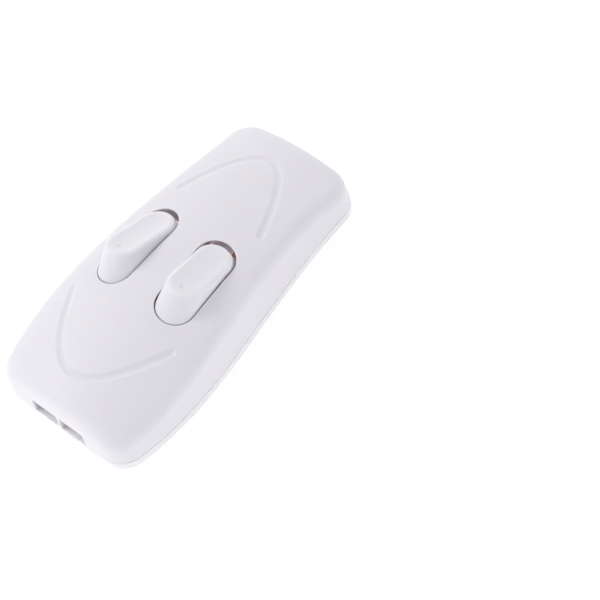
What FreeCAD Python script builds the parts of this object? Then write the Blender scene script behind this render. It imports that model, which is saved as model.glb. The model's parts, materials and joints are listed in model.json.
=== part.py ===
import FreeCAD
import Part
import Sketcher
import math
import os
import re

# Inline cord switch with two rockers, in millimetres.
# +X points to the end with two cord outlets, +Z up, and the origin lies under the middle of the base.
# Each rocker and its contacts form a cell: a frame with its origin on the rocker's pivot, turned to follow
# the flank of the body and leaned outwards with the crowned top.

doc = FreeCAD.newDocument("inline_cord_switch")
sheet = doc.addObject("Spreadsheet::Sheet", "sizes")

SIZES = {
    # Body outline, seen from above
    "body_length": 84.0,
    "front_end_width": 35.8,
    "shoulder_width": 40.2,
    "shoulder_inset": 9.0,
    "belly_width": 42.2,
    "belly_x": 20.0,
    "middle_width": 39.2,
    "waist_width": 34.2,
    "waist_inset": 12.0,
    "rear_end_width": 35.0,
    "corner_radius": 6.4,
    # Crowned top and its rounded edge
    "housing_height": 18.7,
    "crest_x": 1.5,
    "arch_radius": 147.0,
    "crown_radius": 41.5,
    "edge_radius": 4.5,
    "wall_draft": 4.0,
    # Shell, cover and the shadow line between them
    "wall": 1.8,
    "roof": 1.8,
    "cover_height": 2.8,
    "cover_floor": 2.0,
    "cover_edge_radius": 1.0,
    "seam_gap": 0.25,
    "tongue_height": 1.4,
    "seam_clearance": 0.1,
    # Grooves round both ends of the rocker field
    "groove_radius": 1.5,
    "groove_depth": 0.3,
    "groove_edge_radius": 0.6,
    "front_groove_inset": 8.0,
    "front_groove_length": 16.0,
    "front_groove_end_y": 15.0,
    "rear_groove_inset": 9.0,
    "rear_groove_length": 17.7,
    "rear_groove_end_y": 12.3,
    # Cord outlets and cord clamps
    "slot_width": 7.3,
    "slot_height": 4.4,
    "slot_divider": 0.8,
    "slot_depth": 4.5,
    "front_clamp_inset": 6.0,
    "front_post_y": 10.8,
    "rear_clamp_inset": 5.8,
    "rear_post_y": 7.6,
    "clamp_height": 5.4,
    "clamp_width": 4.4,
    "clamp_thickness": 1.6,
    "post_radius": 2.6,
    "cord_rib_height": 0.8,
    "cord_rib_width": 1.2,
    # Rocker openings and rocker pivots
    "rocker_x": 2.4,
    "rocker_y": 8.6,
    "splay": 2.1,
    "lean": 9.0,
    "opening_length": 22.8,
    "opening_width": 9.4,
    "opening_edge_radius": 0.2,
    "opening_lip": 0.4,
    "opening_relief": 1.2,
    "pivot_depth": 4.9,
    "trunnion_radius": 1.2,
    "running_clearance": 0.08,
    "cheek_gap": 0.2,
    "cheek_thickness": 1.3,
    "cheek_length": 6.0,
    "cheek_drop": 2.4,
    # Rockers, measured from the pivot
    "rocker_tilt": 15.5,
    "rocker_gap": 0.15,
    "face_height": 7.3,
    "face_length": 17.0,
    "face_width": 8.4,
    "face_edge_radius": 0.9,
    "dish_margin": 1.0,
    "dish_depth": 0.4,
    "dimple_x": 5.8,
    "dimple_radius": 1.4,
    "dimple_depth": 0.12,
    "shoulder_height": 1.4,
    "skirt_length": 23.8,
    "skirt_depth": 1.7,
    "undercut_start": 3.2,
    "undercut_slope": 15.0,
    "core_start": 3.6,
    "core_end": 8.2,
    "core_width": 5.8,
    "core_height": 4.6,
    "stem_radius": 2.5,
    "stem_depth": 4.0,
    "bore_radius": 1.5,
    "bore_top": 4.6,
    # Plunger and spring
    "plunger_reach": 6.0,
    "plunger_length": 5.4,
    "spring_wire_radius": 0.2,
    "spring_clearance": 0.15,
    "spring_turns": 6.0,
    # Contacts and terminals
    "strip_thickness": 0.8,
    "strip_width": 5.0,
    "seesaw_arm": 7.5,
    "seesaw_lift": 9.0,
    "tip_gap": 0.12,
    "lug_radius": 0.45,
    "ear_gap": 0.1,
    "ear_thickness": 0.8,
    "ear_length": 3.6,
    "ear_lip": 0.6,
    "stop_x": 6.6,
    "contact_x": 6.0,
    "contact_radius": 1.3,
    "contact_thickness": 0.6,
    "contact_gap": 0.05,
    "terminal_split": 3.6,
    "terminal_screw_x": 17.0,
    "terminal_end_margin": 3.2,
    "neutral_length": 14.0,
    "neutral_width": 4.0,
    "neutral_bottom": 3.0,
    "neutral_height": 4.0,
    "neutral_bore_radius": 1.0,
    "neutral_pitch": 4.8,
    "seat_margin": 0.4,
    # Small screws of the terminals and clamps
    "screw_radius": 1.25,
    "screw_head_radius": 2.2,
    "screw_head_height": 1.6,
    "screw_slot_width": 0.6,
    "screw_slot_depth": 0.7,
    "screw_bevel": 0.5,
    "terminal_screw_length": 3.0,
    "clamp_screw_length": 4.6,
    # Screws that hold the cover, with their bosses
    "housing_screw_radius": 1.45,
    "housing_screw_head_radius": 2.7,
    "housing_screw_head_height": 1.6,
    "housing_screw_length": 8.0,
    "housing_screw_seat": 2.2,
    "head_clearance": 0.3,
    "pilot_spare": 0.5,
    "boss_radius": 2.9,
    "boss_bottom": 4.4,
    "cover_boss_radius": 4.0,
    "front_boss_inset": 13.5,
    "front_boss_y": 14.0,
    "rear_boss_inset": 13.0,
    "rear_boss_y": 11.0,
    # Overshoot of cutting shapes
    "overcut": 1.0,
    "reach_over_top": 12.0,
}
for row, (alias, value) in enumerate(SIZES.items(), start=1):
    sheet.set(f"A{row}", alias)
    sheet.set(f"B{row}", str(value))
    sheet.setAlias(f"B{row}", alias)
doc.recompute()

Y_AXIS = FreeCAD.Vector(0, 1, 0)
Z_AXIS = FreeCAD.Vector(0, 0, 1)
SIDES = {"left": 1, "right": -1}
RIM_TOLERANCE = 0.01

# Lengths that several pieces share, as expressions on the sheet
CROWN_REACH = "(arch_radius - crown_radius + sqrt(crown_radius^2 - rocker_y^2))"
ROCKER_SURFACE = f"(housing_height - arch_radius + sqrt({CROWN_REACH}^2 - (rocker_x - crest_x)^2))"
PIVOT_HEIGHT = f"({ROCKER_SURFACE} - pivot_depth * cos(lean))"
PIVOT_Y = "(rocker_y - pivot_depth * sin(lean))"
SEAM_TOP = "(cover_height + seam_gap)"
TONGUE_TOP = "(cover_height + tongue_height)"
SEESAW_AXIS = "(-plunger_reach - tip_gap - strip_thickness / 2)"
SEESAW_UNDERSIDE = f"({SEESAW_AXIS} - strip_thickness / 2)"
STRIP_TOP = f"({SEESAW_UNDERSIDE} - 2 * contact_thickness - contact_gap)"
STRIP_BOTTOM = f"({STRIP_TOP} - strip_thickness)"
TERMINAL_END = "(terminal_screw_x + terminal_end_margin)"
NEUTRAL_TOP = "(neutral_bottom + neutral_height)"
EAR_INNER = "(strip_width / 2 + ear_gap)"
EAR_OUTER = f"({EAR_INNER} + ear_thickness)"
CHEEK_INNER = "(opening_width / 2 + cheek_gap)"
CHEEK_OUTER = f"({CHEEK_INNER} + cheek_thickness)"
ROCKER_WIDTH = "(opening_width - 2 * rocker_gap)"
PLUNGER_RADIUS = "(bore_radius - running_clearance)"
PLUNGER_TOP = "(plunger_length - plunger_reach)"
SCREW_HOLE = "(screw_radius + running_clearance)"
HOUSING_SCREW_HOLE = "(housing_screw_radius + running_clearance)"


def named(text):
    """Expression in which each alias reads its cell."""
    return re.sub(r"[a-z_]+", lambda word: f"sizes.{word[0]}" if word[0] in SIZES else word[0], text)


def size(text):
    """Value of an expression on the aliases."""
    value = sheet.evalExpression(named(text))
    return float(getattr(value, "Value", value))


def bind(item, **properties):
    for name, text in properties.items():
        item.setExpression(name, named(text))
    return item


def placement(x="0", y="0", z="0", yaw="0", pitch="0", roll="0"):
    position = f"create(<<vector>>; {x}; {y}; {z})"
    return f"create(<<placement>>; {position}; create(<<rotation>>; {yaw}; {pitch}; {roll}))"


def cell(side):
    """Frame of one rocker cell."""
    y = f"{side} * {PIVOT_Y}"
    return placement("rocker_x", y, PIVOT_HEIGHT, yaw=f"{side} * splay", roll=f"-{side} * lean")


def spot(x, y, z, yaw=0.0, roll=0.0):
    """Placement worked out as numbers."""
    return FreeCAD.Placement(FreeCAD.Vector(x, y, z), FreeCAD.Rotation(yaw, 0.0, roll))


def cell_spot(side):
    """Frame of one rocker cell, worked out as numbers."""
    position = (size("rocker_x"), side * size(PIVOT_Y), size(PIVOT_HEIGHT))
    return spot(*position, yaw=side * size("splay"), roll=-side * size("lean"))


def place(item, local, frame=None):
    """Bind the placement of a piece, given in the body's frame or in a cell."""
    return bind(item, Placement=f"{frame} * {local}" if frame else local)


def symmetric(half):
    return (f"-({half})", f"({half})")


def station(end, item):
    """Place along X of a feature that keeps its inset from one end of the body."""
    inset = f"{end}_{item}_inset"
    return f"(body_length / 2 - {inset})" if end == "front" else f"({inset} - body_length / 2)"


def box(name, x, y, z, frame=None):
    """Block between a low and a high bound along each axis."""
    block = doc.addObject("Part::Box", name)
    for side, (low, high) in zip(("Length", "Width", "Height"), (x, y, z)):
        bind(block, **{side: f"({high}) - ({low})"})
    return place(block, placement(x[0], y[0], z[0]), frame)


def cylinder(name, radius, z, x="0", y="0", frame=None):
    """Upright cylinder between two heights."""
    rod = doc.addObject("Part::Cylinder", name)
    bind(rod, Radius=radius, Height=f"({z[1]}) - ({z[0]})")
    return place(rod, placement(x, y, z[0]), frame)


def cross_cylinder(name, radius, half_length, frame=None):
    """Cylinder on the Y axis, centred on the XZ plane."""
    rod = doc.addObject("Part::Cylinder", name)
    bind(rod, Radius=radius, Height=f"2 * ({half_length})")
    return place(rod, placement(y=f"-({half_length})", roll="-90"), frame)


def long_cylinder(name, radius, half_length, z):
    """Cylinder along X at a height, centred on the YZ plane."""
    rod = doc.addObject("Part::Cylinder", name)
    bind(rod, Radius=radius, Height=f"2 * ({half_length})")
    return place(rod, placement(x=f"-({half_length})", z=z, pitch="90"))


def sphere(name, radius, x, z):
    ball = doc.addObject("Part::Sphere", name)
    bind(ball, Radius=radius)
    return place(ball, placement(x=x, z=z))


def fuse(name, *pieces):
    union = doc.addObject("Part::MultiFuse", name)
    union.Shapes = list(pieces)
    union.Refine = True
    return union


def cut(name, base, *tools):
    result = doc.addObject("Part::Cut", name)
    result.Base = base
    result.Tool = tools[0] if len(tools) == 1 else fuse(f"{name}_tools", *tools)
    result.Refine = True
    return result


def common(name, base, tool):
    result = doc.addObject("Part::Common", name)
    result.Base = base
    result.Tool = tool
    return result


def shaped(name, shape):
    """Object that holds a shape worked out from the sheet."""
    item = doc.addObject("Part::Feature", name)
    item.Shape = shape
    return item


def stadium(name, length, width, z, frame=None):
    """Prism with straight flanks and round ends, its long axis along X."""
    reach = f"(({length}) - ({width})) / 2"
    radius = f"({width}) / 2"
    return fuse(
        name,
        box(f"{name}_middle", symmetric(reach), symmetric(radius), z, frame),
        cylinder(f"{name}_front", radius, z, reach, frame=frame),
        cylinder(f"{name}_rear", radius, z, f"-({reach})", frame=frame),
    )


# Sketched bodies: every corner of a profile is bound to the sheet


def new_sketch(body, name, role):
    sketch = body.newObject("Sketcher::SketchObject", name)
    plane = next(item for item in body.Origin.OriginFeatures if item.Role == role)
    sketch.AttachmentSupport = [(plane, "")]
    sketch.MapMode = "FlatFace"
    return sketch


def pin_point(sketch, geometry, point, corner):
    """Bind both coordinates of one sketch point."""
    for kind, text in zip(("DistanceX", "DistanceY"), corner):
        row = sketch.addConstraint(Sketcher.Constraint(kind, -1, 1, geometry, point, size(text)))
        sketch.setExpression(f"Constraints[{row}]", named(text))


def polygon(sketch, corners):
    points = [FreeCAD.Vector(size(across), size(up), 0) for across, up in corners]
    count = len(points)
    first = sketch.GeometryCount
    for index in range(count):
        sketch.addGeometry(Part.LineSegment(points[index], points[(index + 1) % count]), False)
    for index in range(count):
        following = first + (index + 1) % count
        sketch.addConstraint(Sketcher.Constraint("Coincident", first + index, 2, following, 1))
    for index, corner in enumerate(corners):
        pin_point(sketch, first + index, 1, corner)


def circle(sketch, centre, radius):
    middle = FreeCAD.Vector(size(centre[0]), size(centre[1]), 0)
    row = sketch.addGeometry(Part.Circle(middle, Z_AXIS, size(radius)), False)
    pin_point(sketch, row, 3, centre)
    datum = sketch.addConstraint(Sketcher.Constraint("Radius", row, size(radius)))
    sketch.setExpression(f"Constraints[{datum}]", named(radius))


def sketched(body, kind, name, sketch, length, midplane):
    """Pad or pocket of a sketch, as the body's tip."""
    feature = body.newObject(f"PartDesign::{kind}", name)
    feature.Profile = sketch
    feature.Midplane = midplane
    bind(feature, Length=length)
    body.Tip = feature


# Body form: lofted flanks, rounded corners, crowned top and rounded top edge


def flank_points(inset, side):
    """Stations of one flank, moved in by inset."""
    half = size("body_length / 2")
    stations = [
        (inset - half, size("rear_end_width")),
        (size("waist_inset") - half, size("waist_width")),
        (0.0, size("middle_width")),
        (size("belly_x"), size("belly_width")),
        (half - size("shoulder_inset"), size("shoulder_width")),
        (half - inset, size("front_end_width")),
    ]
    return [FreeCAD.Vector(x, side * (width / 2 - inset), 0) for x, width in stations]


def smooth_edge(points):
    curve = Part.BSplineCurve()
    curve.interpolate(points)
    return curve.toShape()


def outline(inset, height):
    left = flank_points(inset, 1)
    right = flank_points(inset, -1)
    front_end = Part.makeLine(right[-1], left[-1])
    rear_end = Part.makeLine(left[0], right[0])
    wire = Part.Wire([smooth_edge(right), front_end, smooth_edge(left), rear_end])
    wire.translate(Z_AXIS * height)
    return wire


def flank_solid(inset, low, high, draft=0.0):
    """Solid inside the outline, with its four corners rounded."""
    shrink = (high - low) * math.tan(math.radians(draft))
    solid = Part.makeLoft([outline(inset, low), outline(inset + shrink, high)], True, True)
    corners = [edge for edge in solid.Edges if edge.BoundBox.ZLength > (high - low) / 2]
    return solid.makeFillet(size("corner_radius") - inset, corners)


def crown_solid(drop):
    """Ring whose outside is the arched and crowned top, lowered by drop."""
    centre = FreeCAD.Vector(size("crest_x"), 0, size("housing_height - arch_radius"))
    return Part.makeTorus(size("arch_radius - crown_radius"), size("crown_radius") - drop, centre, Y_AXIS)


def crowned_form(inset, drop, low):
    """Flank solid under the crowned top, with its top edge rounded. The inset holds at the seam."""
    high = size("housing_height + overcut")
    draft = size("wall_draft")
    low_inset = inset - (size(SEAM_TOP) - low) * math.tan(math.radians(draft))
    solid = flank_solid(low_inset, low, high, draft).common(crown_solid(drop)).Solids[0]
    top = max(solid.Faces, key=lambda face: face.CenterOfMass.z)
    return solid.makeFillet(size("edge_radius") - drop, top.Edges)


def top_height(x, y):
    """Height of the crowned top."""
    ring = size("arch_radius - crown_radius") + math.sqrt(size("crown_radius") ** 2 - y**2)
    return size("housing_height - arch_radius") + math.sqrt(ring**2 - (x - size("crest_x")) ** 2)


def groove_path(end):
    """Parabola that the axis of a groove follows over the crowned top."""
    tip_x = size(station(end, "groove"))
    length = size(f"{end}_groove_length")
    end_x = tip_x - length if end == "front" else tip_x + length
    end_y = size(f"{end}_groove_end_y")
    rise = size("groove_radius - groove_depth")
    points = []
    for share in (-1.0, -0.75, -0.5, -0.25, 0.0, 0.25, 0.5, 0.75, 1.0):
        x = tip_x + (end_x - tip_x) * share**2
        y = end_y * share
        points.append(FreeCAD.Vector(x, y, top_height(x, y) + rise))
    return smooth_edge(points)


def groove_solid(path):
    """Round channel with round ends along a path."""
    radius = size("groove_radius")
    start, finish = [path.valueAt(at) for at in (path.FirstParameter, path.LastParameter)]
    section = Part.makeCircle(radius, start, path.tangentAt(path.FirstParameter))
    channel = Part.Wire([path]).makePipeShell([Part.Wire([section])], True, False)
    return channel.multiFuse([Part.makeSphere(radius, start), Part.makeSphere(radius, finish)])


# Housing


def boss_spots():
    return [
        (f"{end}_{label}", station(end, "boss"), f"{side} * {end}_boss_y")
        for end in ("front", "rear")
        for label, side in SIDES.items()
    ]


def slot_tools(label):
    """Blocks that open the two front outlets and the rear inlet above the cover's rim."""
    height = ("cover_height", "cover_height + slot_height")
    front = ("body_length / 2 - slot_depth", "body_length / 2 + overcut")
    rear = ("-body_length / 2 - overcut", "-body_length / 2 + slot_depth")
    near = "slot_divider / 2"
    far = "(slot_divider / 2 + slot_width)"
    return [
        box(f"{label}_slot_left", front, (near, far), height),
        box(f"{label}_slot_right", front, (f"-{far}", f"-{near}"), height),
        box(f"{label}_slot_rear", rear, symmetric("slot_width / 2"), height),
    ]


def cheeks(label, frame):
    """Two walls beside an opening that carry the trunnions."""
    length = symmetric("cheek_length / 2")
    height = ("-cheek_drop", "reach_over_top")
    return [
        box(f"{label}_outer_cheek", length, (CHEEK_INNER, CHEEK_OUTER), height, frame),
        box(f"{label}_inner_cheek", length, (f"-{CHEEK_OUTER}", f"-{CHEEK_INNER}"), height, frame),
    ]


def opening_tools(label, frame):
    """Opening through the roof, the hollow that leaves a thin lip round it, and the trunnion bores."""
    through = stadium(f"{label}_opening", "opening_length", "opening_width", ("0", "reach_over_top"), frame)
    relief_length = "opening_length + 2 * opening_relief"
    relief = stadium(
        f"{label}_relief", relief_length, f"2 * {CHEEK_INNER}", ("-cheek_drop", "reach_over_top"), frame
    )
    lip = shaped(f"{label}_lip", crown_solid(size("opening_lip")))
    bore_length = f"{CHEEK_OUTER} + overcut"
    bore = cross_cylinder(f"{label}_trunnion_bore", "trunnion_radius + running_clearance", bore_length, frame)
    return [through, common(f"{label}_under_lip", relief, lip), bore]


def on_opening(point, side):
    """Whether a point of the crowned top lies on the rim of an opening."""
    local = cell_spot(side).inverse().multVec(point)
    straight = size("(opening_length - opening_width) / 2")
    from_axis = math.hypot(max(abs(local.x) - straight, 0.0), local.y)
    return abs(from_axis - size("opening_width / 2")) < RIM_TOLERANCE


def on_groove(point, path):
    """Whether a point of the crowned top lies on the rim of a groove."""
    from_axis = path.distToShape(Part.Vertex(point))[0]
    return abs(from_axis - size("groove_radius")) < RIM_TOLERANCE


def round_rims(sharp, paths):
    """Housing with the rims of its openings and grooves rounded."""
    doc.recompute()
    opening_radius = size("opening_edge_radius")
    groove_radius = size("groove_edge_radius")
    rims = []
    for index, edge in enumerate(sharp.Shape.Edges, start=1):
        middle = edge.valueAt((edge.FirstParameter + edge.LastParameter) / 2)
        if abs(middle.z - top_height(middle.x, middle.y)) > RIM_TOLERANCE:
            continue
        if any(on_opening(middle, side) for side in SIDES.values()):
            rims.append((index, opening_radius, opening_radius))
        elif any(on_groove(middle, path) for path in paths):
            rims.append((index, groove_radius, groove_radius))
    housing = doc.addObject("Part::Fillet", "top_housing")
    housing.Base = sharp
    housing.Edges = rims
    return housing


def build_housing():
    form = shaped("housing_form", crowned_form(0.0, 0.0, size(SEAM_TOP)))
    cavity = shaped("housing_cavity", crowned_form(size("wall"), size("roof"), size("cover_floor")))
    rebate_top = size(f"{TONGUE_TOP} + seam_clearance")
    rebate = shaped("housing_rebate", flank_solid(size("wall / 2"), size("cover_floor"), rebate_top))
    shell = cut("housing_shell", form, cavity, rebate)
    ribs = []
    tools = slot_tools("housing")
    for label, side in SIDES.items():
        ribs += cheeks(label, cell(side))
        tools += opening_tools(label, cell(side))
    pilot_top = "housing_screw_seat + housing_screw_length + pilot_spare"
    for label, x, y in boss_spots():
        ribs.append(cylinder(f"{label}_boss", "boss_radius", ("boss_bottom", "housing_height"), x, y))
        tools.append(cylinder(f"{label}_pilot", HOUSING_SCREW_HOLE, ("0", pilot_top), x, y))
    inside = common("housing_ribs", fuse("rib_blocks", *ribs), form)
    paths = [groove_path(end) for end in ("front", "rear")]
    for end, path in zip(("front", "rear"), paths):
        tools.append(shaped(f"{end}_groove", groove_solid(path)))
    return round_rims(cut("housing_sharp", fuse("housing_blank", shell, inside), *tools), paths)


# Cover


def build_tray():
    """Floor with a rounded lower edge, and the tongue that enters the housing."""
    blank = flank_solid(0.0, 0.0, size("cover_height"))
    underside = min(blank.Faces, key=lambda face: face.CenterOfMass.z)
    band = shaped("cover_band", blank.makeFillet(size("cover_edge_radius"), underside.Edges))
    floor = size("cover_floor")
    tongue = shaped("cover_tongue", flank_solid(size("wall / 2 + seam_clearance"), floor, size(TONGUE_TOP)))
    hollow = shaped("cover_hollow", flank_solid(size("wall"), floor, size("housing_height")))
    return cut("cover_tray", fuse("cover_blank", band, tongue), hollow, *slot_tools("cover"))


def build_cover():
    root = "cover_floor / 2"
    solids = [build_tray()]
    tools = []
    for label, side in SIDES.items():
        plinth_root = f"-({PIVOT_HEIGHT} - {root}) / cos(lean)"
        plinth_height = (plinth_root, STRIP_BOTTOM)
        length = symmetric(TERMINAL_END)
        solids.append(box(f"{label}_plinth", length, symmetric(EAR_OUTER), plinth_height, cell(side)))
        hole_height = (f"{STRIP_TOP} - terminal_screw_length - running_clearance", STRIP_TOP)
        for name, sign in (("live", -1), ("switched", 1)):
            spot = f"{sign} * terminal_screw_x"
            hole = f"{label}_{name}_plinth_hole"
            tools.append(cylinder(hole, SCREW_HOLE, hole_height, spot, frame=cell(side)))
    seat_length = symmetric("neutral_length / 2 + seat_margin")
    seat_width = symmetric("neutral_width / 2 + seat_margin")
    solids.append(box("neutral_seat", seat_length, seat_width, (root, "neutral_bottom")))
    post_hole_end = "clamp_height + clamp_thickness - clamp_screw_length - running_clearance"
    for end, cord_width in (("front", "slot_divider / 2 + slot_width"), ("rear", "slot_width / 2")):
        x = station(end, "clamp")
        for label, side in SIDES.items():
            y = f"{side} * {end}_post_y"
            solids.append(cylinder(f"{end}_{label}_post", "post_radius", (root, "clamp_height"), x, y))
            hole_height = (post_hole_end, "clamp_height + overcut")
            tools.append(cylinder(f"{end}_{label}_post_hole", SCREW_HOLE, hole_height, x, y))
        rib_length = (f"{x} - cord_rib_width / 2", f"{x} + cord_rib_width / 2")
        rib_height = (root, "cover_floor + cord_rib_height")
        solids.append(box(f"{end}_cord_rib", rib_length, symmetric(cord_width), rib_height))
    for label, x, y in boss_spots():
        solids.append(cylinder(f"{label}_cover_boss", "cover_boss_radius", (root, "boss_bottom"), x, y))
        through = ("-overcut", "boss_bottom + overcut")
        tools.append(cylinder(f"{label}_cover_hole", HOUSING_SCREW_HOLE, through, x, y))
        head_radius = "housing_screw_head_radius + head_clearance"
        head_height = ("-overcut", "housing_screw_seat")
        tools.append(cylinder(f"{label}_counterbore", head_radius, head_height, x, y))
    return cut("bottom_cover", fuse("cover_solid", *solids), *tools)


# Rockers with their plungers and springs, in the rocker's own frame


def stadium_wire(length, width, height):
    reach = (length - width) / 2
    radius = width / 2
    corner = [FreeCAD.Vector(x, y, height) for x in (-reach, reach) for y in (-radius, radius)]
    return Part.Wire(
        [
            Part.makeLine(corner[0], corner[2]),
            Part.makeCircle(radius, FreeCAD.Vector(reach, 0, height), Z_AXIS, -90, 90),
            Part.makeLine(corner[3], corner[1]),
            Part.makeCircle(radius, FreeCAD.Vector(-reach, 0, height), Z_AXIS, 90, 270),
        ]
    )


def rocker_cap():
    """Slanted cap between the shoulder and the face, with the face's edge rounded."""
    shoulder = stadium_wire(size("skirt_length"), size(ROCKER_WIDTH), size("shoulder_height"))
    face = stadium_wire(size("face_length"), size("face_width"), size("face_height"))
    cap = Part.makeLoft([shoulder, face], True, True)
    top = max(cap.Faces, key=lambda item: item.CenterOfMass.z)
    return cap.makeFillet(size("face_edge_radius"), top.Edges)


def dish(label):
    """Shallow hollow of the face: a long round bar with round ends, sunk into it."""
    half_width = "(face_width / 2 - dish_margin)"
    radius = f"(({half_width}^2 + dish_depth^2) / (2 * dish_depth))"
    reach = "((face_length - face_width) / 2)"
    height = f"face_height - dish_depth + {radius}"
    return [
        long_cylinder(f"{label}_dish_bar", radius, reach, height),
        sphere(f"{label}_dish_front", radius, reach, height),
        sphere(f"{label}_dish_rear", radius, f"-{reach}", height),
    ]


def undercut(label):
    """Wedges that raise the underside towards both ends."""
    body = doc.addObject("PartDesign::Body", f"{label}_undercut")
    sketch = new_sketch(body, f"{label}_undercut_profile", "XZ_Plane")
    far = "(skirt_length / 2 + overcut)"
    deep = "-(skirt_depth + overcut)"
    rise = f"-skirt_depth + ({far} - undercut_start) * tan(undercut_slope)"
    for sign in (1, -1):
        near_x = f"{sign} * undercut_start"
        far_x = f"{sign} * {far}"
        polygon(sketch, [(near_x, "-skirt_depth"), (near_x, deep), (far_x, deep), (far_x, rise)])
    sketched(body, "Pad", f"{label}_undercut_pad", sketch, f"2 * {ROCKER_WIDTH}", True)
    return body


def build_rocker(label, frame):
    skirt = stadium(f"{label}_skirt", "skirt_length", ROCKER_WIDTH, ("-skirt_depth", "shoulder_height"))
    solid = fuse(
        f"{label}_rocker_solid",
        cut(f"{label}_trimmed_skirt", skirt, undercut(label)),
        shaped(f"{label}_cap", rocker_cap()),
        cross_cylinder(f"{label}_trunnions", "trunnion_radius", f"{CHEEK_OUTER} - running_clearance"),
        cylinder(f"{label}_stem", "stem_radius", ("-stem_depth", "shoulder_height")),
    )
    dimple_height = "face_height - dish_depth - dimple_depth + dimple_radius"
    core_width = symmetric("core_width / 2")
    core_height = ("-stem_depth", "core_height")
    rocker = cut(
        f"rocker_{label}",
        solid,
        *dish(label),
        sphere(f"{label}_dimple", "dimple_radius", "dimple_x", dimple_height),
        cylinder(f"{label}_bore", "bore_radius", ("-stem_depth - overcut", "bore_top")),
        box(f"{label}_front_core", ("core_start", "core_end"), core_width, core_height),
        box(f"{label}_rear_core", ("-core_end", "-core_start"), core_width, core_height),
    )
    return place(rocker, placement(pitch="-rocker_tilt"), frame)


def build_plunger(label, frame):
    """Round-nosed pin that slides in the rocker's stem."""
    nose = f"(-plunger_reach + {PLUNGER_RADIUS})"
    plunger = fuse(
        f"rocker_plunger_{label}",
        cylinder(f"{label}_plunger_shank", PLUNGER_RADIUS, (nose, PLUNGER_TOP)),
        sphere(f"{label}_plunger_nose", PLUNGER_RADIUS, "0", nose),
    )
    return place(plunger, placement(pitch="-rocker_tilt"), frame)


def build_spring(label, frame):
    """Coil spring between the plunger and the end of the bore."""
    wire = size("spring_wire_radius")
    low = size(PLUNGER_TOP) + wire
    high = size("bore_top") - wire
    radius = size("bore_radius - spring_clearance") - wire
    coil = Part.makeHelix((high - low) / size("spring_turns"), high - low, radius)
    coil.translate(Z_AXIS * low)
    section = Part.Wire([Part.makeCircle(wire, FreeCAD.Vector(radius, 0, low), Y_AXIS)])
    spring = shaped(f"rocker_spring_{label}", Part.Wire(coil.Edges).makePipeShell([section], True, True))
    return place(spring, placement(pitch="-rocker_tilt"), frame)


# Contacts and terminals, in the cell's frame


def build_seesaw(label, frame):
    """Bent contact blade, drawn with its front arm pressed down, with the lugs that it rocks on."""
    body = doc.addObject("PartDesign::Body", f"seesaw_contact_{label}")
    sketch = new_sketch(body, f"{label}_seesaw_profile", "XZ_Plane")
    half = "strip_thickness / 2"
    bend = "2 * seesaw_lift"
    rear_x = f"-seesaw_arm * cos({bend})"
    rear_z = f"{SEESAW_AXIS} + seesaw_arm * sin({bend})"
    corners = [
        ("seesaw_arm", f"{SEESAW_AXIS} - {half}"),
        ("seesaw_arm", f"{SEESAW_AXIS} + {half}"),
        (f"{half} * tan(seesaw_lift)", f"{SEESAW_AXIS} + {half}"),
        (f"{rear_x} + {half} * sin({bend})", f"{rear_z} + {half} * cos({bend})"),
        (f"{rear_x} - {half} * sin({bend})", f"{rear_z} - {half} * cos({bend})"),
        (f"-{half} * tan(seesaw_lift)", f"{SEESAW_AXIS} - {half}"),
    ]
    polygon(sketch, corners)
    sketched(body, "Pad", f"{label}_seesaw_blade", sketch, "strip_width", True)
    lugs = new_sketch(body, f"{label}_seesaw_lug_profile", "XZ_Plane")
    circle(lugs, ("0", SEESAW_AXIS), "lug_radius")
    sketched(body, "Pad", f"{label}_seesaw_lugs", lugs, f"2 * {EAR_OUTER}", True)
    return place(body, placement(), frame)


def build_contacts(label, frame):
    moving = (f"{SEESAW_UNDERSIDE} - contact_thickness", SEESAW_UNDERSIDE)
    fixed = (STRIP_TOP, f"{STRIP_TOP} + contact_thickness")
    return [
        cylinder(f"moving_contact_{label}", "contact_radius", moving, "contact_x", frame=frame),
        cylinder(f"fixed_contact_{label}", "contact_radius", fixed, "contact_x", frame=frame),
    ]


def terminal_hole(name, x):
    return cylinder(name, SCREW_HOLE, (f"{STRIP_BOTTOM} - overcut", f"{STRIP_TOP} + overcut"), x)


def build_live_terminal(label, frame):
    """Strip with two notched ears for the seesaw's lugs and a stop for its rear arm."""
    level = (STRIP_BOTTOM, STRIP_TOP)
    strip_width = symmetric("strip_width / 2")
    ear_length = symmetric("ear_length / 2")
    ear_height = (STRIP_BOTTOM, f"{SEESAW_AXIS} + lug_radius + ear_lip")
    stop_height = (STRIP_BOTTOM, f"{SEESAW_UNDERSIDE} - contact_gap")
    solid = fuse(
        f"{label}_live_solid",
        box(f"{label}_live_tail", (f"-{TERMINAL_END}", "0"), strip_width, level),
        box(f"{label}_live_base", ear_length, symmetric(EAR_OUTER), level),
        box(f"{label}_left_ear", ear_length, (EAR_INNER, EAR_OUTER), ear_height),
        box(f"{label}_right_ear", ear_length, (f"-{EAR_OUTER}", f"-{EAR_INNER}"), ear_height),
        box(f"{label}_stop", ("-stop_x - strip_thickness", "-stop_x"), strip_width, stop_height),
    )
    notch_half = "(lug_radius + running_clearance)"
    notch_height = (f"{SEESAW_AXIS} - {notch_half}", "0")
    notch = box(f"{label}_notch", symmetric(notch_half), symmetric(f"{EAR_OUTER} + overcut"), notch_height)
    hole = terminal_hole(f"{label}_live_hole", "-terminal_screw_x")
    return place(cut(f"live_terminal_{label}", solid, notch, hole), placement(), frame)


def build_switched_terminal(label, frame):
    length = ("terminal_split", TERMINAL_END)
    strip = box(f"{label}_switched_strip", length, symmetric("strip_width / 2"), (STRIP_BOTTOM, STRIP_TOP))
    hole = terminal_hole(f"{label}_switched_hole", "terminal_screw_x")
    return place(cut(f"switched_terminal_{label}", strip, hole), placement(), frame)


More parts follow.
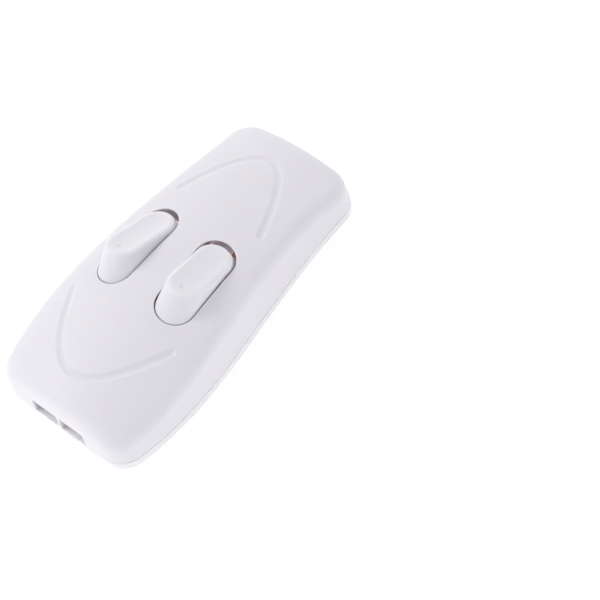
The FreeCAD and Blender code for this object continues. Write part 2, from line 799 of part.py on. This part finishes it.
def build_neutral_link():
    """Drilled bar that joins the neutral wires."""
    length = symmetric("neutral_length / 2")
    bar = box("neutral_bar", length, symmetric("neutral_width / 2"), ("neutral_bottom", NEUTRAL_TOP))
    middle = "neutral_bottom + neutral_height / 2"
    tools = [long_cylinder("neutral_wire_bore", "neutral_bore_radius", "neutral_length", middle)]
    hole_height = (f"{NEUTRAL_TOP} - terminal_screw_length - running_clearance", f"{NEUTRAL_TOP} + overcut")
    for index, step in enumerate((-1, 0, 1)):
        tools.append(cylinder(f"neutral_hole_{index}", SCREW_HOLE, hole_height, f"{step} * neutral_pitch"))
    return cut("neutral_link", bar, *tools)


# Clamps and screws


def build_clamp(end):
    body = doc.addObject("PartDesign::Body", f"cord_clamp_{end}")
    sketch = new_sketch(body, f"{end}_clamp_plan", "XY_Plane")
    half = "clamp_width / 2"
    reach = f"({end}_post_y + {half})"
    x = station(end, "clamp")
    near = f"{x} - {half}"
    far = f"{x} + {half}"
    polygon(sketch, [(near, f"-{reach}"), (far, f"-{reach}"), (far, reach), (near, reach)])
    for sign in (1, -1):
        circle(sketch, (x, f"{sign} * {end}_post_y"), SCREW_HOLE)
    sketched(body, "Pad", f"{end}_clamp_bar", sketch, "clamp_thickness", False)
    return place(body, placement(z="clamp_height"))


def screw_form(name, radius, head_radius, head_height, length):
    """Slotted screw with its head's seat on the XY plane and its head upwards."""
    body = doc.addObject("PartDesign::Body", name)
    sketch = new_sketch(body, f"{name}_profile", "XZ_Plane")
    corners = [
        ("0", f"-{length}"),
        (f"{radius} - screw_bevel", f"-{length}"),
        (radius, f"-{length} + screw_bevel"),
        (radius, "0"),
        (head_radius, "0"),
        (head_radius, f"{head_height} - screw_bevel"),
        (f"{head_radius} - screw_bevel", head_height),
        ("0", head_height),
    ]
    polygon(sketch, corners)
    turned = body.newObject("PartDesign::Revolution", f"{name}_turned")
    turned.Profile = sketch
    turned.ReferenceAxis = (sketch, ["V_Axis"])
    turned.Angle = 360
    body.Tip = turned
    slot = new_sketch(body, f"{name}_slot_profile", "XZ_Plane")
    half = "screw_slot_width / 2"
    low = f"{head_height} - screw_slot_depth"
    high = f"{head_height} + overcut"
    polygon(slot, [(f"-{half}", low), (half, low), (half, high), (f"-{half}", high)])
    sketched(body, "Pocket", f"{name}_slot", slot, f"3 * {head_radius}", True)
    return body


def screw_group(name, form, placements):
    """Separate copies of one screw in a single node."""
    copies = []
    for spot in placements:
        screw = form.Shape.copy()
        screw.Placement = spot
        copies.append(screw)
    return shaped(name, Part.makeCompound(copies))


def build_screws():
    small = ("screw_radius", "screw_head_radius", "screw_head_height")
    large = ("housing_screw_radius", "housing_screw_head_radius", "housing_screw_head_height")
    terminal_form = screw_form("terminal_screw_form", *small, "terminal_screw_length")
    clamp_form = screw_form("clamp_screw_form", *small, "clamp_screw_length")
    housing_form = screw_form("housing_screw_form", *large, "housing_screw_length")
    doc.recompute()
    terminal_x = size("terminal_screw_x")
    terminal_spots = [
        cell_spot(side).multiply(spot(sign * terminal_x, 0, size(STRIP_TOP)))
        for side in SIDES.values()
        for sign in (1, -1)
    ]
    terminal_spots += [spot(step * size("neutral_pitch"), 0, size(NEUTRAL_TOP)) for step in (-1, 0, 1)]
    clamp_top = size("clamp_height + clamp_thickness")
    clamp_spots = [
        spot(size(station(end, "clamp")), side * size(f"{end}_post_y"), clamp_top)
        for end in ("front", "rear")
        for side in SIDES.values()
    ]
    seat = size("housing_screw_seat")
    housing_spots = [spot(size(x), size(y), seat, roll=180.0) for label, x, y in boss_spots()]
    return [
        screw_group("terminal_screws", terminal_form, terminal_spots),
        screw_group("cord_clamp_screws", clamp_form, clamp_spots),
        screw_group("housing_screws", housing_form, housing_spots),
    ]


nodes = [build_housing(), build_cover(), build_neutral_link()]
for label, side in SIDES.items():
    frame = cell(side)
    nodes.append(build_rocker(label, frame))
    nodes.append(build_plunger(label, frame))
    nodes.append(build_spring(label, frame))
    nodes.append(build_seesaw(label, frame))
    nodes += build_contacts(label, frame)
    nodes.append(build_live_terminal(label, frame))
    nodes.append(build_switched_terminal(label, frame))
nodes += [build_clamp("front"), build_clamp("rear")]
nodes += build_screws()
doc.recompute()

for item in doc.Objects:
    if "Invalid" in item.State or "Error" in item.State:
        raise RuntimeError(f"{item.Name} failed: {item.State}")
os.makedirs("parts", exist_ok=True)
for node in nodes:
    if node.Shape.isNull() or not node.Shape.isValid():
        raise RuntimeError(f"{node.Name} has no valid shape")
    node.Label = node.Name
    node.Shape.exportStep(f"parts/{node.Label}.step")
    print(f"{node.Label}: {len(node.Shape.Solids)} solids, {node.Shape.Volume:.1f} cubic millimetres")
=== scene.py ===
import json
import math

import bpy
from mathutils import Euler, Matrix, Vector

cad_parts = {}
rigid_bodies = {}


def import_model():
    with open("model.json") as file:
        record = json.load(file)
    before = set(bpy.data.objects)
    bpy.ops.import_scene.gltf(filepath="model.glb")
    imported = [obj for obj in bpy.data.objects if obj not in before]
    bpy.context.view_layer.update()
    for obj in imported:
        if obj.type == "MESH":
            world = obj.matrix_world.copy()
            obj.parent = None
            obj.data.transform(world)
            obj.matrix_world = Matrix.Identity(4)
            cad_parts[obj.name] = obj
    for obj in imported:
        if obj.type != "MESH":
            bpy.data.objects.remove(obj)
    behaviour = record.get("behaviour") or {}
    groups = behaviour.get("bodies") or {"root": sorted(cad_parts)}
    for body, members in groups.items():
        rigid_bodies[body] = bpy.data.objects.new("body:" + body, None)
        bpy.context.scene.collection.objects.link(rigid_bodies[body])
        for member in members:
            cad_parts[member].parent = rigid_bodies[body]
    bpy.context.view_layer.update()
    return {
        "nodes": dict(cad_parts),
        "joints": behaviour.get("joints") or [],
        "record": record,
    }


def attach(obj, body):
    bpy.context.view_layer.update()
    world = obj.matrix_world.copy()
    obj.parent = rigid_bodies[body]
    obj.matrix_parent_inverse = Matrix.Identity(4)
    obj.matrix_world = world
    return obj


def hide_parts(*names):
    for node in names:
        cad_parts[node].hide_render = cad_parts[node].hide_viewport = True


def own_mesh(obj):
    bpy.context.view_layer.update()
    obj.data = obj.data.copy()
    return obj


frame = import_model()

# Looks of an inline cord switch with two rockers.
# Lengths are in metres. +X runs to the end with two cord slots, and +Z is up.
MM = 0.001
WHITE = (1.0, 1.0, 1.0, 1.0)

# Camera, as fitted to the photograph
CAMERA_PLACE = Vector((105.09, 178.40, 304.21)) * MM
CAMERA_TURN_DEGREES = (31.888, 8.619, 129.361)
CAMERA_LENS_MM = 97.39
CAMERA_SENSOR_MM = 36.0

# World: what is seen of it, its plain light, and a dimmer light towards one direction.
# The cosines of the angle from that direction say where the dimming starts and ends.
WORLD_SEEN = 1.0
WORLD_LIGHT = 0.74
DIM_LIGHT = 0.38
DIM_DIRECTION = Vector((0.60, 0.75, 0.28)).normalized()
DIM_COSINES = (0.2, 1.0)

# Soft boxes around the object
SOFT_BOXES = {
    "key": {"place": Vector((0.30, -0.56, 0.72)), "width": 0.45, "watts": 3.0},
    "fill": {"place": Vector((-0.50, 0.10, 0.55)), "width": 0.60, "watts": 0.62},
    "low_flank": {"place": Vector((0.12, 0.26, 0.05)), "width": 0.16, "watts": 0.15},
    "low_end": {"place": Vector((0.11, -0.015, 0.012)), "width": 0.05, "watts": 0.007},
}

# Small lamps inside the case
GLOW_PLACES = [Vector((-12.0, y, 11.0)) * MM for y in (-7.0, 7.0)]
GLOW_RADIUS = 2.0 * MM
GLOW_WATTS = 0.0004
GLOW_COLOUR = (1.0, 0.90, 0.92)

# Floor: one colour and lift for the light that it returns, and another pair for what is seen
FLOOR_HALF_WIDTH = 3.0
FLOOR_BOUNCE_COLOUR = (0.90, 0.90, 0.91, 1.0)
FLOOR_BOUNCE_LIFT = 0.35
FLOOR_SEEN_COLOUR = (0.28, 0.28, 0.284, 1.0)
FLOOR_SEEN_LIFT = 0.78

# Base colours of the finishes, linear
HOUSING_WHITE = (0.800, 0.785, 0.830)
# The cover's white is lighter than the housing's. This is painted light: it stands in for light bounced up
# from the floor onto the lower strip.
COVER_WHITE_WITH_PAINTED_BOUNCE = (0.870, 0.855, 0.890)
ROCKER_WHITE = (0.815, 0.800, 0.845)
CLAMP_GREY = (0.62, 0.61, 0.60)
NYLON = (0.70, 0.67, 0.58)
COPPER = (0.66, 0.33, 0.22)
BRASS = (0.70, 0.50, 0.22)
SILVER = (0.76, 0.75, 0.72)
SPRING_STEEL = (0.48, 0.49, 0.51)
ZINC = (0.60, 0.60, 0.58)

# Part of a noise texture's values that covers most of its area
NOISE_MIDDLE = (0.3, 0.7)

# Plastics: scales are in waves per metre, and spreads are about the mean roughness
FLOW_MARK_SCALE = 90.0
FLOW_MARK_SHADE = 0.985
SHEEN_PATCH_SCALE = 350.0
SHEEN_SPREAD = 0.05
GRAIN_STRENGTH = 1.0
PLASTIC_IOR = 1.5
PLASTIC_SPECULAR = 0.42
SCATTER_WEIGHT = 1.0
SCATTER_SHARES = (1.0, 0.92, 0.90)
SCATTER_DEPTH = 0.5 * MM

# Metals: the same units
TARNISH_SCALE = 260.0
TARNISH_SHADE = 0.86
STREAK_SPREAD = 0.07
STREAK_STRENGTH = 0.6
STREAK_DEPTH = 0.004 * MM

# Edges flatter than this are shaded smooth
SMOOTH_ANGLE = math.radians(24)


# Helpers


def new_object(name, data):
    """New object, placed in the scene."""
    item = bpy.data.objects.new(name, data)
    bpy.context.scene.collection.objects.link(item)
    return item


def new_material(name):
    """New material with its node tree and main shader."""
    material = bpy.data.materials.new(name)
    material.use_nodes = True
    tree = material.node_tree
    return material, tree, tree.nodes["Principled BSDF"]


def add(tree, kind, settings=None, **inputs):
    """New node with its settings and constant inputs."""
    node = tree.nodes.new(kind)
    for key, value in (settings or {}).items():
        setattr(node, key, value)
    for key, value in inputs.items():
        node.inputs[key].default_value = value
    return node


def noise(tree, coordinates, scale, detail, roughness=0.5):
    """Noise texture's value at the coordinates."""
    texture = add(tree, "ShaderNodeTexNoise", Scale=scale, Detail=detail, Roughness=roughness)
    tree.links.new(coordinates, texture.inputs["Vector"])
    return texture.outputs["Fac"]


def remap(tree, value, source, target, interpolation="LINEAR"):
    """Value carried over from the source range to the target range."""
    node = add(tree, "ShaderNodeMapRange", {"interpolation_type": interpolation})
    for name, number in zip(("From Min", "From Max", "To Min", "To Max"), (*source, *target)):
        node.inputs[name].default_value = number
    tree.links.new(value, node.inputs["Value"])
    return node.outputs["Result"]


def mottled(tree, texture, colour, shade):
    """Colour that varies with a texture, between a darker shade of it and the colour itself."""
    node = add(tree, "ShaderNodeMix", {"data_type": "RGBA"})
    node.inputs["A"].default_value = (*(channel * shade for channel in colour), 1.0)
    node.inputs["B"].default_value = (*colour, 1.0)
    tree.links.new(remap(tree, texture, NOISE_MIDDLE, (0.0, 1.0)), node.inputs["Factor"])
    return node.outputs["Result"]


def varied(tree, texture, mean, spread):
    """Number that varies with a texture about its mean."""
    return remap(tree, texture, NOISE_MIDDLE, (mean - spread, mean + spread))


def raised(tree, texture, strength, depth):
    """Surface normal of a texture that stands out in relief."""
    bump = add(tree, "ShaderNodeBump", Strength=strength, Distance=depth)
    tree.links.new(texture, bump.inputs["Height"])
    return bump.outputs["Normal"]


# Materials


def moulded_plastic(name, colour, roughness, grain_mm, grain_depth_mm):
    """Moulded plastic with a fine spark-eroded grain, faint flow marks and a soft sheen."""
    material, tree, shader = new_material(name)
    place = add(tree, "ShaderNodeTexCoord").outputs["Object"]
    flow_marks = noise(tree, place, FLOW_MARK_SCALE, detail=2.0)
    patches = noise(tree, place, SHEEN_PATCH_SCALE, detail=4.0)
    grain = noise(tree, place, 1.0 / (grain_mm * MM), detail=5.0, roughness=0.6)
    tree.links.new(mottled(tree, flow_marks, colour, FLOW_MARK_SHADE), shader.inputs["Base Color"])
    tree.links.new(varied(tree, patches, roughness, SHEEN_SPREAD), shader.inputs["Roughness"])
    tree.links.new(raised(tree, grain, GRAIN_STRENGTH, grain_depth_mm * MM), shader.inputs["Normal"])
    shader.inputs["IOR"].default_value = PLASTIC_IOR
    shader.inputs["Specular IOR Level"].default_value = PLASTIC_SPECULAR
    shader.inputs["Subsurface Weight"].default_value = SCATTER_WEIGHT
    shader.inputs["Subsurface Radius"].default_value = SCATTER_SHARES
    shader.inputs["Subsurface Scale"].default_value = SCATTER_DEPTH
    return material


def metal(name, colour, roughness, grain_mm, streak):
    """Metal with slight tarnish and fine streaks along X, whose length is streak times their width."""
    material, tree, shader = new_material(name)
    place = add(tree, "ShaderNodeTexCoord").outputs["Object"]
    stretch = add(tree, "ShaderNodeMapping", Scale=(1.0 / streak, 1.0, 1.0))
    tree.links.new(place, stretch.inputs["Vector"])
    streaks = noise(tree, stretch.outputs["Vector"], 1.0 / (grain_mm * MM), detail=4.0)
    tarnish = noise(tree, place, TARNISH_SCALE, detail=3.0)
    tree.links.new(mottled(tree, tarnish, colour, TARNISH_SHADE), shader.inputs["Base Color"])
    tree.links.new(varied(tree, streaks, roughness, STREAK_SPREAD), shader.inputs["Roughness"])
    tree.links.new(raised(tree, streaks, STREAK_STRENGTH, STREAK_DEPTH), shader.inputs["Normal"])
    shader.inputs["Metallic"].default_value = 1.0
    return material


def build_finishes():
    """One material for each of the record's slots."""
    return {
        "housing_plastic": moulded_plastic(
            "satin_white_housing", HOUSING_WHITE, roughness=0.46, grain_mm=0.16, grain_depth_mm=0.006
        ),
        # Lighter cover white: painted light from the floor bounce
        "cover_plastic": moulded_plastic(
            "satin_white_cover_painted_bounce", COVER_WHITE_WITH_PAINTED_BOUNCE, roughness=0.50, grain_mm=0.18, grain_depth_mm=0.006
        ),
        "rocker_plastic": moulded_plastic(
            "satin_white_rocker", ROCKER_WHITE, roughness=0.42, grain_mm=0.14, grain_depth_mm=0.004
        ),
        "clamp_plastic": moulded_plastic(
            "pale_grey_clamp", CLAMP_GREY, roughness=0.50, grain_mm=0.20, grain_depth_mm=0.006
        ),
        "plunger_plastic": moulded_plastic(
            "natural_nylon", NYLON, roughness=0.32, grain_mm=0.25, grain_depth_mm=0.002
        ),
        "copper": metal("rolled_copper_strip", COPPER, roughness=0.34, grain_mm=0.10, streak=12.0),
        "brass": metal("drawn_brass", BRASS, roughness=0.30, grain_mm=0.12, streak=8.0),
        "contact_silver": metal("dull_silver_contact", SILVER, roughness=0.36, grain_mm=0.08, streak=1.0),
        "spring_steel": metal("drawn_spring_wire", SPRING_STEEL, roughness=0.28, grain_mm=0.06, streak=6.0),
        "steel": metal("zinc_plated_screw", ZINC, roughness=0.33, grain_mm=0.09, streak=3.0),
    }


def dress_nodes():
    """Give every CAD node its finish, and smooth shading between its sharp edges."""
    finishes = build_finishes()
    for row in frame["record"]["subparts"]:
        mesh = frame["nodes"][row["node"]].data
        mesh.materials.clear()
        mesh.materials.append(finishes[row["material_slot"]])
        for face in mesh.polygons:
            face.use_smooth = True
        mesh.set_sharp_from_angle(angle=SMOOTH_ANGLE)


# Springs


def build_spring(joint, name):
    """Copy of a CAD spring that stands in for the hidden CAD node and rides on the joint's parent body."""
    spring = new_object(f"giving_{name}", frame["nodes"][name].data.copy())
    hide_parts(name)
    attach(spring, joint["parent"])
    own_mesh(spring)


def build_springs():
    """One spring for each node that a joint deforms."""
    for joint in frame["joints"]:
        for row in joint.get("deforming_nodes", []):
            build_spring(joint, row["node"])


# Stage, light and camera


def seen_by_eye(tree):
    """One for rays that show the surface directly, in gloss or through glass."""
    path = add(tree, "ShaderNodeLightPath")
    total = path.outputs["Is Camera Ray"]
    for name in ("Is Glossy Ray", "Is Transmission Ray"):
        node = add(tree, "ShaderNodeMath", {"operation": "MAXIMUM"})
        tree.links.new(total, node.inputs[0])
        tree.links.new(path.outputs[name], node.inputs[1])
        total = node.outputs["Value"]
    return total


def lifted_white(tree, colour, lift):
    """Matt surface with a light of its own on top of what falls on it."""
    matt = add(tree, "ShaderNodeBsdfDiffuse", Color=colour)
    own_light = add(tree, "ShaderNodeEmission", Strength=lift)
    both = add(tree, "ShaderNodeAddShader")
    tree.links.new(matt.outputs["BSDF"], both.inputs[0])
    tree.links.new(own_light.outputs["Emission"], both.inputs[1])
    return both.outputs["Shader"]


def build_floor():
    """White floor that keeps the object's shadow."""
    corners = [Vector((x, y, 0.0)) for x, y in ((-1, -1), (1, -1), (1, 1), (-1, 1))]
    mesh = bpy.data.meshes.new("floor")
    mesh.from_pydata([corner * FLOOR_HALF_WIDTH for corner in corners], [], [(0, 1, 2, 3)])
    material, tree, shader = new_material("white_sweep")
    tree.nodes.remove(shader)
    choice = add(tree, "ShaderNodeMixShader")
    tree.links.new(seen_by_eye(tree), choice.inputs["Fac"])
    tree.links.new(lifted_white(tree, FLOOR_BOUNCE_COLOUR, FLOOR_BOUNCE_LIFT), choice.inputs[1])
    tree.links.new(lifted_white(tree, FLOOR_SEEN_COLOUR, FLOOR_SEEN_LIFT), choice.inputs[2])
    tree.links.new(choice.outputs["Shader"], tree.nodes["Material Output"].inputs["Surface"])
    mesh.materials.append(material)
    new_object("floor", mesh)


def build_world():
    """White to the eye, softer as a light, and dimmest low on the viewer's side."""
    world = bpy.data.worlds.new("studio")
    world.use_nodes = True
    tree = world.node_tree
    background = tree.nodes["Background"]
    background.inputs["Color"].default_value = WHITE
    aim = add(tree, "ShaderNodeVectorMath", {"operation": "DOT_PRODUCT"})
    aim.inputs[1].default_value = DIM_DIRECTION
    tree.links.new(add(tree, "ShaderNodeTexCoord").outputs["Generated"], aim.inputs[0])
    light = remap(tree, aim.outputs["Value"], DIM_COSINES, (WORLD_LIGHT, DIM_LIGHT), "SMOOTHSTEP")
    strength = add(tree, "ShaderNodeMapRange")
    strength.inputs["To Max"].default_value = WORLD_SEEN
    tree.links.new(light, strength.inputs["To Min"])
    tree.links.new(seen_by_eye(tree), strength.inputs["Value"])
    tree.links.new(strength.outputs["Result"], background.inputs["Strength"])
    bpy.context.scene.world = world


def build_soft_box(name, place, width, watts):
    """Square lamp that faces the origin."""
    lamp = bpy.data.lights.new(name, "AREA")
    lamp.size = width
    lamp.energy = watts
    holder = new_object(name, lamp)
    holder.location = place
    holder.rotation_euler = (-place).to_track_quat("-Z", "Y").to_euler()


def build_glow(place):
    """Faint warm light, such as thin white walls let into a case."""
    lamp = bpy.data.lights.new("case_glow", "POINT")
    lamp.energy = GLOW_WATTS
    lamp.color = GLOW_COLOUR
    lamp.shadow_soft_size = GLOW_RADIUS
    holder = new_object("case_glow", lamp)
    holder.location = place
    holder.visible_camera = False


def build_camera():
    """Camera at the photograph's viewing angle."""
    data = bpy.data.cameras.new("camera")
    data.lens = CAMERA_LENS_MM
    data.sensor_width = CAMERA_SENSOR_MM
    camera = new_object("camera", data)
    camera.location = CAMERA_PLACE
    camera.rotation_euler = Euler([math.radians(angle) for angle in CAMERA_TURN_DEGREES])
    bpy.context.scene.camera = camera


bpy.context.scene.view_settings.view_transform = "Standard"
dress_nodes()
build_springs()
build_floor()
build_world()
for box_name, box in SOFT_BOXES.items():
    build_soft_box(box_name, **box)
for glow_place in GLOW_PLACES:
    build_glow(glow_place)
build_camera()
